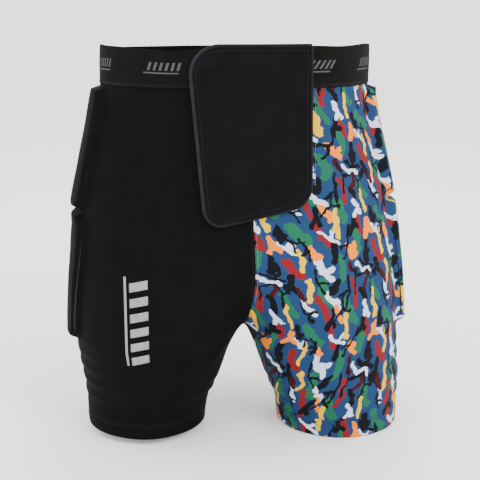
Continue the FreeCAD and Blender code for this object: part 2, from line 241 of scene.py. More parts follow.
# chance strokes, repeated in a tile; each layer: colour, count, length, width, lean, spread, fork
printPlan = {
    "tile": (112.0, 106.0),
    "seed": 12,
    "drifts": ((0.035, 13.0), (0.11, 7.0), (0.42, 2.6)),
    "layers": [
        ("green", 6, 28, 9.0, 0.25, 0.30, 0.0),
        ("red", 5, 23, 7.5, 0.35, 0.30, 0.3),
        ("ink", 8, 16, 7.5, 0.30, 0.60, 0.7),
        ("white", 7, 24, 5.6, 0.40, 0.45, 0.8),
        ("orange", 4, 15, 7.0, 0.20, 0.35, 0.6),
        ("yellow", 4, 22, 5.6, 0.30, 0.25, 0.0),
        ("maroon", 3, 16, 5.0, 0.15, 0.35, 0.0),
        ("ink", 10, 28, 3.2, 0.30, 0.90, 1.0),
    ],
}


def openPlace(rng, name, taken):  # of twelve chance places, the one with most room round it
    wide, tall = printPlan["tile"]

    def room(place):
        gaps = [1e9]
        for other, across, up in taken:
            dx = abs(place[0] - across)
            dy = abs(place[1] - up)
            gap = math.hypot(min(dx, wide - dx), min(dy, tall - dy))
            gaps.append(gap if other == name else 2.2 * gap)
        return min(gaps)

    places = [(rng.uniform(0, wide), rng.uniform(0, tall)) for _ in range(12)]
    best = max(places, key=room)
    taken.append((name, *best))
    return best


def chanceStroke(rng, centre, length, width, lean, spread, fork):  # a bent stroke, perhaps forked
    angle = lean + rng.uniform(-spread, spread)
    bend = rng.uniform(-0.7, 0.7)
    size = length * rng.uniform(0.75, 1.25)

    def step(start, turn, reach):
        return (start[0] + reach * math.sin(turn), start[1] - reach * math.cos(turn))

    top = step(centre, angle + math.pi, size / 2)
    low = step(centre, angle + bend, size / 2)
    pieces = [(top, centre), (centre, low)]
    if rng.random() < fork:
        side = rng.choice((-1, 1)) * rng.uniform(0.9, 1.6)
        pieces.append((centre, step(centre, angle + side, size * 0.42)))
    return pieces, width * rng.uniform(0.75, 1.2)


def strokeShape(material, place, centre, pieces, width):  # below zero inside the stroke
    tile = printPlan["tile"]
    high = (centre[0] + tile[0] / 2, centre[1] + tile[1] / 2, 1)
    low = (centre[0] - tile[0] / 2, centre[1] - tile[1] / 2, -1)
    near = addNode(material, "VectorMath", (place, high, low), operation="WRAP")
    nearest = None
    for start, end in pieces:
        run = Vector((end[0] - start[0], end[1] - start[1], 0))
        away = addNode(material, "VectorMath", (near, (*start, 0)), operation="SUBTRACT")
        along = (away, run / run.length_squared)
        share = addNode(material, "VectorMath", along, operation="DOT_PRODUCT").outputs["Value"]
        share = addNode(material, "Math", (share, 0.0), operation="ADD", use_clamp=True)
        rest = addNode(material, "VectorMath", (share, -run, away), operation="MULTIPLY_ADD")
        gap = addNode(material, "VectorMath", [rest], operation="LENGTH").outputs["Value"]
        if nearest is not None:
            gap = addNode(material, "Math", (nearest, gap), operation="MINIMUM")
        nearest = gap
    return addNode(material, "Math", (nearest, width / 2), operation="SUBTRACT")


def brushedPrint():  # the same knit with a dye-printed camouflage of ragged upright brush strokes
    material = newMaterial("brushedPrint", printColours["ground"], 0.8, 0.1)
    place = clothCoordinates(material, 1.0)
    # a slow drift bends the strokes, a quick one frays their edges
    for scale, reach in printPlan["drifts"]:
        drift = addNode(material, "TexNoise", {"Vector": place, "Scale": scale, "Detail": 1.0})
        links = (drift.outputs["Color"], (0.5, 0.5, 0.5))
        centred = addNode(material, "VectorMath", links, operation="SUBTRACT")
        links = (centred, (reach, reach, 0), place)
        place = addNode(material, "VectorMath", links, operation="MULTIPLY_ADD")
    rng = random.Random(printPlan["seed"])
    colour = linear(printColours["ground"])
    nudged = place
    taken = []
    for name, count, length, width, lean, spread, fork in printPlan["layers"]:
        inside = None
        for _ in range(count):
            centre = openPlace(rng, name, taken)
            pieces, wide = chanceStroke(rng, centre, length, width, lean, spread, fork)
            shape = strokeShape(material, nudged, centre, pieces, wide)
            if inside is not None:
                shape = addNode(material, "Math", (inside, shape), operation="MINIMUM")
            inside = shape
            # each stroke is nudged by the last, so the shader works through them one by one
            links = (inside, (0.004, 0.004, 0), place)
            nudged = addNode(material, "VectorMath", links, operation="MULTIPLY_ADD")
        share = addNode(material, "Math", (inside, 0.0), operation="LESS_THAN")
        layers = {0: share, 6: colour, 7: linear(printColours[name])}
        colour = addNode(material, "Mix", layers, data_type="RGBA").outputs[2]
    setColour(material, colour)
    setBump(material, knitHeight(material), 0.05)
    return material


# groups of slanted bars with a line under them: pitch and width, and heights on the elastic
bandMarks = {
    "bar": (5.6, 2.6),
    "group": (78.4, 33.6),
    "barHeights": (19.0, 27.5),
    "lineHeights": (15.5, 17.0),
    "lean": 0.35,
    "rib": 1.6,
    "pick": 1.1,
}


def wovenElastic():  # ribbed woven elastic: dull brownish black, with grey woven marks
    material = newMaterial("wovenElastic", "#0c0b0a", 0.85, 0.06)
    across, up = addNode(material, "SeparateXYZ", [addNode(material, "UVMap", uv_map="cloth")]).outputs[:2]
    slanted = addNode(material, "Math", (up, bandMarks["lean"], across), operation="MULTIPLY_ADD")

    def repeated(pitch, wide):
        place = addNode(material, "Math", (slanted, pitch * mm), operation="FLOORED_MODULO")
        return addNode(material, "Math", (place, wide * mm), operation="LESS_THAN")

    def between(low, high):
        above = addNode(material, "Math", (up, low * mm), operation="GREATER_THAN")
        below = addNode(material, "Math", (up, high * mm), operation="LESS_THAN")
        return addNode(material, "Math", (above, below), operation="MULTIPLY")

    def ridges(direction, pitch):
        turned = addNode(material, "Math", (direction, math.tau / (pitch * mm)), operation="MULTIPLY")
        ridge = addNode(material, "Math", [turned], operation="SINE")
        return addNode(material, "Math", (ridge, 0.5), operation="MULTIPLY")

    links = (repeated(*bandMarks["bar"]), between(*bandMarks["barHeights"]))
    bars = addNode(material, "Math", links, operation="MULTIPLY")
    links = (bars, between(*bandMarks["lineHeights"]))
    either = addNode(material, "Math", links, operation="ADD", use_clamp=True)
    mark = addNode(material, "Math", (repeated(*bandMarks["group"]), either), operation="MULTIPLY")
    faded = addNode(material, "Math", (mark, 0.8), operation="MULTIPLY")
    layers = {0: faded, 6: mottle(material, "#0a0908", "#100e0d", 60), 7: linear("#4a4a4d")}
    setColour(material, addNode(material, "Mix", layers, data_type="RGBA").outputs[2])
    links = (ridges(across, bandMarks["pick"]), ridges(up, bandMarks["rib"]))
    setBump(material, addNode(material, "Math", links, operation="ADD"), 0.10)
    return material


def laminatedJersey():  # thin jersey over foam: a touch lighter than the knit, fine nap
    material = newMaterial("laminatedJersey", "#0b0b0d", 0.88, 0.05, 0.0)
    setColour(material, mottle(material, "#0a0a0b", "#0e0e10", 45))
    place = addNode(material, "TexCoord").outputs["Object"]
    nap = addNode(material, "TexNoise", {"Vector": place, "Scale": 900, "Detail": 2.0})
    setBump(material, nap, 0.12)
    return material


def foldedEdge():  # the same jersey turned over an edge, with a painted highlight: lighter towards its free left side
    material = newMaterial("foldedEdge", "#101011", 0.8, 0.1, 0.05)
    place = addNode(material, "TexCoord").outputs["Object"]
    across = addNode(material, "SeparateXYZ", [place])
    # painted highlight: the edge's colour turns lighter towards its free left side, as if lit there
    paintedHighlightShare = addNode(material, "MapRange", {"Value": across, "From Min": -0.02, "From Max": -0.055})
    paintedHighlightColour = mottle(material, "#171719", "#1f1f22", 80)
    plainEdgeColour = mottle(material, "#0a0a0b", "#0f0f11", 80)
    layers = {0: paintedHighlightShare, 6: plainEdgeColour, 7: paintedHighlightColour}
    setColour(material, addNode(material, "Mix", layers, data_type="RGBA").outputs[2])
    return material


def sewingThread(name, colour):  # spun polyester, slightly glossy
    material = newMaterial(name, colour, 0.55, 0.35)
    setColour(material, mottle(material, colour, colour, 400))
    return material


def closedCellFoam():  # moulded EVA: fine matt pores
    material = newMaterial("closedCellFoam", "#1a1a1c", 0.9, 0.15)
    place = addNode(material, "TexCoord").outputs["Object"]
    pores = addNode(material, "TexVoronoi", {"Vector": place, "Scale": 700})
    setColour(material, mottle(material, "#161618", "#1e1e21", 120))
    setBump(material, pores, 0.15)
    return material


def openMesh():  # warp-knit polyester mesh: round holes every 3 mm, drawn as dimples with painted shade in them
    material = newMaterial("openMesh", "#121214", 0.8, 0.1)
    uv = clothCoordinates(material, 3.0)
    holes = addNode(material, "TexVoronoi", {"Vector": uv, "Scale": 1.0, "Randomness": 0.0})
    deep = addNode(material, "MapRange", {"Value": holes, "From Min": 0.2, "From Max": 0.34})
    # painted shade: the holes are coloured near black, for the shade inside them
    layers = {0: deep, 6: linear("#030304"), 7: linear("#151518")}
    setColour(material, addNode(material, "Mix", layers, data_type="RGBA").outputs[2])
    setBump(material, deep, 0.5)
    return material


def loopPile():  # brushed nylon loops
    material = newMaterial("loopPile", "#101012", 0.95, 0.08, 0.1)
    place = addNode(material, "TexCoord").outputs["Object"]
    fuzz = addNode(material, "TexNoise", {"Vector": place, "Scale": 1400, "Detail": 4.0, "Distortion": 2.0})
    setColour(material, mottle(material, "#0b0b0c", "#161618", 500))
    setBump(material, fuzz, 0.4)
    return material


def hookTape():  # moulded nylon hooks in rows 1.6 mm apart
    material = newMaterial("hookTape", "#0d0d0e", 0.75, 0.08)
    uv = clothCoordinates(material, 1.6)
    hooks = addNode(material, "TexVoronoi", {"Vector": uv, "Scale": 1.0, "Randomness": 0.15})
    setColour(material, mottle(material, "#0a0a0b", "#121213", 300))
    setBump(material, hooks, 0.5)
    return material


def plainSatin():  # woven polyester satin
    material = newMaterial("plainSatin", "#c9c9c5", 0.5, 0.4)
    setColour(material, mottle(material, "#c2c2be", "#d2d2ce", 200))
    return material


def printedGrey():  # silver-grey transfer print
    material = newMaterial("printedGrey", "#7f8184", 0.65, 0.2)
    setColour(material, mottle(material, "#77797d", "#87898c", 150))
    return material


finishes = {
    "knit": stretchKnit(),
    "print": brushedPrint(),
    "elastic": wovenElastic(),
    "jersey": laminatedJersey(),
    "edge": foldedEdge(),
    "darkThread": sewingThread("darkThread", "#141416"),
    "paleThread": sewingThread("paleThread", "#8f939c"),
    "foam": closedCellFoam(),
    "mesh": openMesh(),
    "loop": loopPile(),
    "hook": hookTape(),
    "satin": plainSatin(),
    "grey": printedGrey(),
}
print("stage: materials made")

# how the soft garment sits: heights, and how far its two sides and its left hem move at each
settling = {
    "heights": (-420, -388, -360, -335, -308, -220, -190, -165, -110, -55, -40, 10),
    "rightSide": (10.5, 9.6, 8.5, 4, 0.5, 0, -1.5, -6.5, -7, -7, -6.5, -6),
    "leftSide": (-4.5, -5, -5, -7.5, -9.5, -10, -10, -9.5, -9.5, -9.5, -7.5, -7),
    "leftLift": (0, 0, 0, 4, 8.5, 9, 9.5, 9.5, 5, 1, 0, 0),
    "leftHem": (-7, -6.5, -4, -1.5, 0, 0, 0, 0, 0, 0, 0, 0),
    "sideReach": (70, 145),
    "legReach": (5, 45),
    "crotchAcross": (4.0, 45, -232, 48),  # most, half width, height, half height
    "crotchUp": (4.5, 34, -318, 26),
}


def settle(piece):  # worn elastic never hangs evenly: moves the piece's points a few millimetres
    points = np.empty(len(piece.data.vertices) * 3)
    piece.data.vertices.foreach_get("co", points)
    x, y, z = points.reshape(-1, 3).T / mm

    def reach(value, name):
        low, high = settling[name]
        share = np.clip((value - low) / (high - low), 0, 1)
        return share * share * (3 - 2 * share)

    def along(name):
        return np.interp(z, settling["heights"], settling[name])

    def pull(name):
        most, wide, height, tall = settling[name]
        return most * np.exp(-((x / wide) ** 2) - ((z - height) / tall) ** 2)

    right, left = reach(-x, "sideReach"), reach(x, "sideReach")
    sideways = right * along("rightSide") + left * along("leftSide") + pull("crotchAcross")
    upwards = left * along("leftLift") + reach(x, "legReach") * along("leftHem") + pull("crotchUp")
    moved = np.stack([x + sideways, y, z + upwards], axis=1) * mm
    piece.data.vertices.foreach_set("co", moved.ravel())
    piece.data.update()


def dress(piece, finish, body="shorts", replaces=()):
    settle(piece)
    piece.data.materials.clear()
    piece.data.materials.append(finishes[finish])
    if body:
        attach(piece, body)
    if replaces:
        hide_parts(*replaces)
    return piece


# one leg's tube: height, half width, half depth, centre out from the middle, centre back
garment = {
    "levels": [
        (15, 141, 104, 0, 0),
        (-40, 141.5, 104, 0, 0),
        (-83, 150, 107.2, 0, 1.4),
        (-122, 159, 110.3, 0, 2),
        (-162, 168, 112.6, 0, 2.7),
        (-199, 144.6, 113, 30.4, 5),
        (-236, 122, 113, 57, 5),
        (-251, 113, 113, 67.6, 5),
        (-275, 101.6, 110.6, 80.8, 5),
        (-291, 96, 107.4, 87.3, 5),
        (-306, 91.5, 103.5, 92.5, 5),
        (-332, 84.1, 93.7, 99, 3.3),
        (-359, 78.4, 86.2, 103.9, 2),
        (-385, 71.5, 72.5, 110.2, 0.3),
        (-412, 69.7, 69.7, 111.5, 0),
    ],
    "smoothing": 7,
    "hipFront": -35.5,
    "hipBack": 71.5,
    "upperPad": (-44.0, -170.5),
    "lowerPad": (-175.5, -309.5),
    "hipProud": 9.0,
    "seatProud": 12.0,
    "hipCorner": 14.0,
    "seatCorner": 28.0,
    "tailboneCorner": 13.0,
    "seatPad": (-180.5, -277.5, 5.5, 99.5),
    "tailbonePad": (-60.5, -175.5, 43.5, 27.5),
    "shell": 1.2,
    "sideSeam": 8.0,
    "around": 260,
    "rowPitch": 2.4,
    "bandBottom": -40,
    "hemTop": -392,
}

tableZ = np.arange(-440, 41, 1.0)
levels = np.array(garment["levels"])[::-1]
kernel = np.exp(-0.5 * (np.arange(-30, 31) / garment["smoothing"]) ** 2)
kernel /= kernel.sum()


def smoothColumn(column):
    raw = np.interp(tableZ, levels[:, 0], levels[:, column])
    padded = np.concatenate([np.full(30, raw[0]), raw, np.full(30, raw[-1])])
    return np.convolve(padded, kernel, mode="valid")


columns = [smoothColumn(column) for column in (1, 2, 3, 4)]


def sectionAt(z):
    return [float(np.interp(z, tableZ, column)) for column in columns]


def tubePoint(turn, z, offset=0.0):  # turn 0 is the front, a quarter is the wearer's right
    wide, deep, out, back = sectionAt(z)
    return (
        -out - (wide + offset) * math.sin(turn),
        back - (deep + offset) * math.cos(turn),
        z,
    )


def hipPadHeight(x, y, z):
    if abs(x) < 70:
        return 0.0
    middle = (garment["hipFront"] + garment["hipBack"]) / 2
    half = (garment["hipBack"] - garment["hipFront"]) / 2
    best = 0.0
    for top, foot in (garment["upperPad"], garment["lowerPad"]):
        gap = roundedBox(y - middle, z - (top + foot) / 2, half, (top - foot) / 2, garment["hipCorner"])
        soft = 3.2 if abs(y - middle) < half - 8 else 6.0
        best = max(best, smoothStep(-gap, -soft * 0.4, soft))
    return best * garment["hipProud"]


def seatPadHeight(x, y, z):
    if y < 0:
        return 0.0
    top, foot, inner, outer = garment["seatPad"]
    across, up = abs(x) - (inner + outer) / 2, z - (top + foot) / 2
    seat = roundedBox(across, up, (outer - inner) / 2, (top - foot) / 2, garment["seatCorner"])
    top, foot, wideTop, wideFoot = garment["tailbonePad"]
    half = mix(wideFoot, wideTop, min(1, max(0, (z - foot) / (top - foot))))
    tailbone = roundedBox(x, z - (top + foot) / 2, half, (top - foot) / 2, garment["tailboneCorner"])
    return max(smoothStep(-gap, -2.0, 6.0) for gap in (seat, tailbone)) * garment["seatProud"]


def wrinkles(x, y, z):
    place = Vector((x, y, z))
    depth = 0.5 * noise.noise(place / 38)
    # ripples where the loose leg hangs below the hip pad, and above the hem inside the leg
    outer = smoothStep(abs(x), 150, 172) * bump(z, -352, 34)
    depth += outer * 1.1 * math.sin(z / 2.6 + 1.5 * noise.noise(place / 24))
    inner = smoothStep(72 - abs(x), 0, 16) * bump(z, -374, 14)
    depth += inner * 0.9 * math.sin(z / 2.4 + y / 30)
    # soft folds that run out from the crotch
    reach = math.hypot(x, z + 306)
    if y < 20:
        angle = math.atan2(z + 306, abs(x) + 6)
        folds = math.sin(angle * 9 + 2.2 * noise.noise(Vector((x, 0, z)) / 50))
        depth += 1.0 * folds * smoothStep(reach, 14, 40) * bump(reach, 30, 60) * smoothStep(-y, 0, 40)
    # a crease beside the flap's free edge
    if y < 0:
        line = abs(x + 74 - (z + 110) * -0.18)
        depth += 0.9 * math.exp(-((line / 3.0) ** 2)) * bump(z, -110, 42)
    return depth


def garmentMesh():
    rows = int((garment["bandBottom"] - garment["hemTop"]) / garment["rowPitch"])

    def place(u, v):
        return tubePoint(math.tau * (u - 0.25), mix(garment["hemTop"], garment["bandBottom"], v))

    def cloth(u, v):
        z = mix(garment["hemTop"], garment["bandBottom"], v)
        wide, deep = sectionAt(z)[:2]
        return (math.tau * (u - 0.5) * (wide + deep) / 2, z)

    # the right tube, cut in the middle, with the cut edge drawn onto the mirror's plane
    bm = clothGrid(garment["around"], rows, place, cloth, wrapU=True)
    cutAt(bm, (-0.03, 0, 0), (1, 0, 0), keep="inner")
    for vert in bm.verts:
        if vert.co.x > -0.0004 and vert.is_boundary and -0.38 < vert.co.z < -0.0401:
            vert.co.x = 0
    bmesh.ops.mirror(bm, geom=geometryOf(bm), axis="X", merge_dist=0.00002)
    bmesh.ops.remove_doubles(bm, verts=bm.verts, dist=0.0002)
    bmesh.ops.recalc_face_normals(bm, faces=bm.faces)
    # the valley between the two tubes is drawn out into one smooth front, seat and crotch
    for reach, rounds in ((26, 10), (16, 16), (9, 10)):
        near = [
            vert
            for vert in bm.verts
            if abs(vert.co.x) < reach * mm and -0.345 < vert.co.z < -0.17 and not vert.is_boundary
        ]
        for _ in range(rounds):
            bmesh.ops.smooth_vert(
                bm, verts=near, factor=0.5, use_axis_x=False, use_axis_y=True, use_axis_z=True
            )
    bm.normal_update()
    moves = []
    for vert in bm.verts:
        x, y, z = vert.co / mm
        height = max(hipPadHeight(x, y, z), seatPadHeight(x, y, z)) + wrinkles(x, y, z)
        fade = smoothStep(garment["bandBottom"] - z, 0, 4) * smoothStep(z - garment["hemTop"], 0, 8)
        moves.append((vert, vert.normal * height * fade * mm))
    for vert, move in moves:
        vert.co += move
    bm.normal_update()
    return bm


shellMesh = garmentMesh()
shellTree = BVHTree.FromBMesh(shellMesh)
print("stage: shell surface", len(shellMesh.faces), "faces")


gore = {"right": -22.0, "left": 46.0, "foot": 5.0, "drop": -116.0}
gusset = {"halfWidth": 13.0, "front": -37.0, "back": 47.0, "top": -266.0}


def goreSide(x, z, side):
    edge, foot = (gore["right"], -gore["foot"]) if side < 0 else (gore["left"], gore["foot"])
    line = mix(foot, edge, (z - gore["drop"]) / (0 - gore["drop"]))
    return (x - line) * -side


def inGore(x, y, z):
    return y < 0 and z > gore["drop"] and goreSide(x, z, -1) > 0 and goreSide(x, z, 1) > 0


def inGusset(x, y, z):
    return (
        abs(x) < gusset["halfWidth"] and gusset["front"] < y < gusset["back"] and z < gusset["top"]
    )


def splitShell():
    cutAt(shellMesh, (0, garment["sideSeam"], 0), (0, 1, 0))
    cutAt(shellMesh, (0, 0, 0), (1, 0, 0))
    for side in (-1, 1):
        edge = gore["right"] if side < 0 else gore["left"]
        slope = Vector((edge - side * gore["foot"], 0, -gore["drop"]))
        cutAt(shellMesh, (edge, 0, 0), (slope.z, 0, -slope.x))
        cutAt(shellMesh, (side * gusset["halfWidth"], 0, 0), (1, 0, 0))
    cutAt(shellMesh, (0, gusset["front"], 0), (0, 1, 0))
    cutAt(shellMesh, (0, gusset["back"], 0), (0, 1, 0))
    groups = {}
    for face in shellMesh.faces:
        x, y, z = face.calc_center_median() / mm
        side = "right" if x < 0 else "left"
        part = f"{side}FrontPanel" if y < garment["sideSeam"] else f"{side}BackPanel"
        if inGusset(x, y, z):
            part = "crotchGusset"
        elif inGore(x, y, z):
            part = None
        groups.setdefault(part, []).append(face.index)
    return groups


panels = {
    "rightFrontPanel": ("knit", "black_shell", "right_front_panel"),
    "leftFrontPanel": ("print", "printed_shell", "left_front_panel"),
    "rightBackPanel": ("knit", "black_shell", "right_back_panel"),
    "leftBackPanel": ("print", "printed_shell", "left_back_panel"),
    "crotchGusset": ("knit", "black_shell", "crotch_gusset"),
}
groups = splitShell()
for name, (finish, slot, node) in panels.items():
    part = shellMesh.copy()
    wanted = set(groups[name])
    part.faces.ensure_lookup_table()
    unwanted = [face for face in part.faces if face.index not in wanted]
    bmesh.ops.delete(part, geom=unwanted, context="FACES")
    piece = thicken(meshFrom(part, name), garment["shell"])
    dress(piece, finish, replaces=[node])
print("stage: panels cut")


def facingOut(bm, middle=(0, 0)):  # turns faces that point in, towards an upright line
    total = 0.0
    bm.normal_update()
    for face in bm.faces:
        away = face.calc_center_median() / mm - Vector((middle[0], middle[1], 0))
        away.z = 0
        total += face.normal.dot(away)
    if total < 0:
        bmesh.ops.reverse_faces(bm, faces=bm.faces)
    return bm


def frontSurface(x, z, lift=0.0):  # the smooth front at x, z, raised by lift
    wide, deep, out, back = sectionAt(z)
    across = min(0.98, abs(abs(x) - out) / (wide + lift))
    return (x, back - (deep + lift) * math.sqrt(1 - across**2), z)


waistband = {
    "proud": 0.9,
    "thickness": 1.9,
    "radius": 141.3,
    "bottom": garment["bandBottom"] - 0.4,
    "cloth": (26, 738),  # where the flat elastic starts and ends, which places its marks
    "ribs": 300,
    "rows": 18,
}


def bandTop(x, y):
    if y > 0:
        return -4.5 * smoothStep(y, 0, 60)
    return -4.6 * bump(x, -80, 34) - 1.6 * bump(x, 74, 36)


def waistbandPlace(u, v):  # from the gore's right side round the back to its left side
    share = (mix(waistband["bottom"], 0, v) - gore["drop"]) / -gore["drop"]
    start = math.asin(-mix(-gore["foot"], gore["right"], share) / waistband["radius"])
    end = math.tau - math.asin(mix(gore["foot"], gore["left"], share) / waistband["radius"])
    turn = mix(start, end, u)
    waves = 0.5 * math.sin(turn * 7) * v + 0.6 * math.sin(math.pi * v)
    x, y, _ = tubePoint(turn, -30, waistband["proud"] + waves)
    return (x, y, mix(waistband["bottom"], bandTop(x, y), v))


def waistbandCloth(u, v):
    return (mix(*waistband["cloth"], u), v * -garment["bandBottom"])


band = clothGrid(waistband["ribs"], waistband["rows"], waistbandPlace, waistbandCloth)
piece = thicken(meshFrom(facingOut(band), "waistbandElastic"), waistband["thickness"])
addModifier(piece, "BEVEL", width=0.5 * mm, segments=2, limit_method="ANGLE")
dress(applied(piece), "elastic", replaces=["waistband"])


def gorePlace(u, v):
    z = mix(gore["drop"], -0.5, v)
    right = mix(-gore["foot"], gore["right"], v)
    left = mix(gore["foot"], gore["left"], v)
    return frontSurface(mix(right, left, u), z, -0.3)


sheet = clothGrid(20, 40, gorePlace, lambda u, v: (u * 50, v * 116))
dress(thicken(meshFrom(sheet, "stretchGore"), 1.0), "knit", replaces=["stretch_gore"])

hem = {"height": 20.0, "thickness": 2.2, "middle": 111.5, "radius": 69.7}


def hemPiece(name, side, finish, node):
    half = hem["thickness"] / 2
    run, fold = hem["height"] - half, math.pi * half
    total = 2 * run + fold

    def place(u, v):  # v runs down the outside, round the fold, up the inside and back over
        along = v * (total + fold)
        if along < run:
            out, up = half, hem["height"] - along
        elif along < run + fold:
            turn = (along - run) / half
            out, up = half * math.cos(turn), half - half * math.sin(turn)
        elif along < total:
            out, up = -half, half + (along - run - fold)
        else:
            turn = (along - total) / half
            out, up = -half * math.cos(turn), hem["height"] + 0.6 * math.sin(turn)
        swell = 0.35 * bump(up, 8, 6) * (1 if out > 0 else 0)
        x, y, z = tubePoint(math.tau * (u - 0.25), garment["hemTop"] - hem["height"] + up, out - half)
        return (x * -side * (1 + swell / 111), y * (1 + swell / 70), z)

    def cloth(u, v):
        return (math.tau * (u - 0.5) * hem["radius"], garment["hemTop"] - v * (total + fold))

    bm = clothGrid(180, 44, place, cloth, wrapU=True, wrapV=True)
    facingOut(bm, (side * hem["middle"], 0))
    bmesh.ops.recalc_face_normals(bm, faces=bm.faces)
    dress(meshFrom(bm, name), finish, replaces=[node])


hemPiece("rightLegHem", -1, "knit", "right_leg_hem")
hemPiece("leftLegHem", 1, "print", "left_leg_hem")
print("stage: waistband, gore and hems made")

# the closure flap, which lies over the gore and is sewn on at its left side
flap = {
    "free": -63.5,
    "sewn": 60.0,
    "top": 2.6,
    "foot": -177.0,
    "slope": 22.0,
    "taper": 15.0,
    "corner": 22.0,
    "topCorner": 32.0,
    "outer": 6.7,
    "padding": 3.2,
    "backing": 3.4,
    "split": 14.0,
    "lift": 3.5,
    "weltWide": 2.0,
    "weltTall": 2.2,
    "weltMiddle": 4.85,
    "outlineSteps": 400,
    "foldFrom": 12.0,
    "foldTo": -6.0,
    "rootFrom": 58.0,
    "rootTo": 43.0,
    "creases": ((-19.5, 0.07), (-158.0, 0.11)),  # height at the middle, and slope
    "faceInset": 2.4,
    "clothSize": (118, 172),
}


def flapPlan(a, b, inset):  # x, z and the distance to the edge, for a and b from 0 to 1
    radius = flap["topCorner" if a < 0.5 and b > 0.5 else "corner"] - inset
    wide = flap["sewn"] - flap["free"] - 2 * inset
    high = flap["top"] - flap["foot"] - 2 * inset
    fromSide, fromEnd = min(a, 1 - a) * wide, min(b, 1 - b) * high
    edge = min(fromSide, fromEnd)
    if fromSide < radius and fromEnd < radius and not (a > 0.5 and b > 0.5):
        s, t = 1 - fromSide / radius, 1 - fromEnd / radius
        s, t = s * math.sqrt(1 - t * t / 2), t * math.sqrt(1 - s * s / 2)
        fromSide, fromEnd = radius * (1 - s), radius * (1 - t)
        edge = radius * (1 - math.hypot(s, t))
    a = fromSide / wide if a <= 0.5 else 1 - fromSide / wide
    b = fromEnd / high if b <= 0.5 else 1 - fromEnd / high
    left = mix(flap["free"] + flap["taper"] + inset, flap["free"] + inset, b)
    right = flap["sewn"] - inset
    low = mix(flap["foot"] + inset, flap["foot"] + flap["slope"] + inset, a)
    return mix(left, right, a), mix(low, flap["top"] - inset, b), edge


def flapLift(x, z):  # the free edge stands off the shell
    return flap["lift"] * smoothStep(-x, 12, 60) + 0.5 * bump(z, -84, 60)


def flapSheet(name, inset, offset, thickness, crown=0.0):
    def place(u, v):
        x, z, edge = flapPlan(u, v, inset)
        raised = offset + flapLift(x, z)
        if crown:
            raised += crown * smoothStep(edge, 0, 14) - 0.35 * bump(edge, 3.2, 1.2)
            # short creases over the ends of the hook patch
            for height, tilt in flap["creases"]:
                line = z - height - tilt * x
                groove = 1.3 * bump(line, 0, 1.1) - 0.5 * bump(line, -3.2, 1.6)
                raised -= groove * smoothStep(-x, -2, 6) * smoothStep(edge, 8, 13)
            raised -= 0.18 * bump(x, 0.5, 1.8) * smoothStep(edge, 6, 12)
            raised += 0.25 * noise.noise(Vector((x, 0, z)) / 22)
        return frontSurface(x, z, raised)

    wide, tall = flap["clothSize"]
    bm = clothGrid(96, 140, place, lambda u, v: (u * wide, v * tall))
    return thicken(meshFrom(bm, name), thickness)


def keepSide(piece, name, x, tip):
    bm = bmesh.new()
    bm.from_mesh(piece.data)
    cutAt(bm, (x, 0, 0), (1, 0, 0), keep="inner" if tip else "outer")
    bmesh.ops.holes_fill(bm, edges=outlineEdges(bm), sides=0)
    return meshFrom(bm, name)


def bendTip(piece):
    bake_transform(piece)


def bendBase(piece):
    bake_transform(piece)


def splitFlap(piece, finish, tipName, baseName, tipNodes, baseNodes):
    tip = keepSide(piece, tipName, flap["split"], True)
    base = keepSide(piece, baseName, flap["split"], False)
    bpy.data.objects.remove(piece)
    dress(tip, finish, body=None, replaces=tipNodes)
    dress(base, finish, body=None, replaces=baseNodes)
    bendTip(tip)
    bendBase(base)


def outlinePath(inset):  # even steps round the flap from its top sewn corner, and their length
    corners = []
    steps = [(u / 60, 1.0) for u in range(60, -1, -1)]
    steps += [(0.0, v / 80) for v in range(79, -1, -1)]
    steps += [(u / 60, 0.0) for u in range(1, 61)]
    steps += [(1.0, v / 80) for v in range(1, 81)]
    for a, b in steps:
        x, z, _ = flapPlan(a, b, inset)
        if not corners or math.dist(corners[-1], (x, z)) > 0.02:
            corners.append((x, z))
    lengths = [0.0]
    for first, second in zip(corners, corners[1:]):
        lengths.append(lengths[-1] + math.dist(first, second))
    xs, zs = zip(*corners)
    even = np.linspace(0, lengths[-1], flap["outlineSteps"] + 1)
    return list(zip(np.interp(even, lengths, xs), np.interp(even, lengths, zs))), lengths[-1]


def weltMesh():
    wide, tall, steps = flap["weltWide"], flap["weltTall"], flap["outlineSteps"]
    path, length = outlinePath(wide)

    def place(u, v):
        position = u * steps
        low = min(steps - 1, int(position))
        x, z = [mix(p, q, position - low) for p, q in zip(path[low], path[low + 1])]
        before, after = path[max(0, low - 1)], path[min(steps, low + 2)]
        away = Vector((after[1] - before[1], 0, before[0] - after[0])).normalized()
        turn = math.tau * v
        side = wide * math.cos(turn)
        raised = flap["weltMiddle"] + tall * math.sin(turn) + flapLift(x, z)
        return frontSurface(x + away.x * side, z + away.z * side, raised)

    bm = clothGrid(steps, 10, place, lambda u, v: (u * length, v * 14), wrapV=True)
    bmesh.ops.holes_fill(bm, edges=outlineEdges(bm), sides=0)
    bmesh.ops.recalc_face_normals(bm, faces=bm.faces)
    return meshFrom(bm, "flapWelt")


face = flapSheet("flapFace", flap["faceInset"], flap["outer"], flap["padding"], crown=0.5)
splitFlap(face, "jersey", "flapTipPad", "flapBasePad",
          ["flap_tip_face", "flap_tip_foam"], ["flap_base_face", "flap_base_foam"])
back = flapSheet("flapBack", flap["faceInset"], flap["backing"], 0.6)
splitFlap(back, "jersey", "flapTipBacking", "flapBaseBacking",
          ["flap_tip_backing"], ["flap_base_backing"])
splitFlap(weltMesh(), "edge", "flapTipWelt", "flapBaseWelt",
          ["flap_tip_welt"], ["flap_base_welt"])

# hook under the flap, loop on the shell, and the tape under the sewn edge
fastening = {
    "thickness": 1.1,
    "hookInset": 9.0,
    "hookOffset": 2.7,
    "hookEdge": 3.0,
    "loopInset": 5.0,
    "loopShare": 0.31,
    "shellOffset": 1.2,
    "tape": (52.0, 59.6),
    "tapeHeights": (-119, -2.2),
}

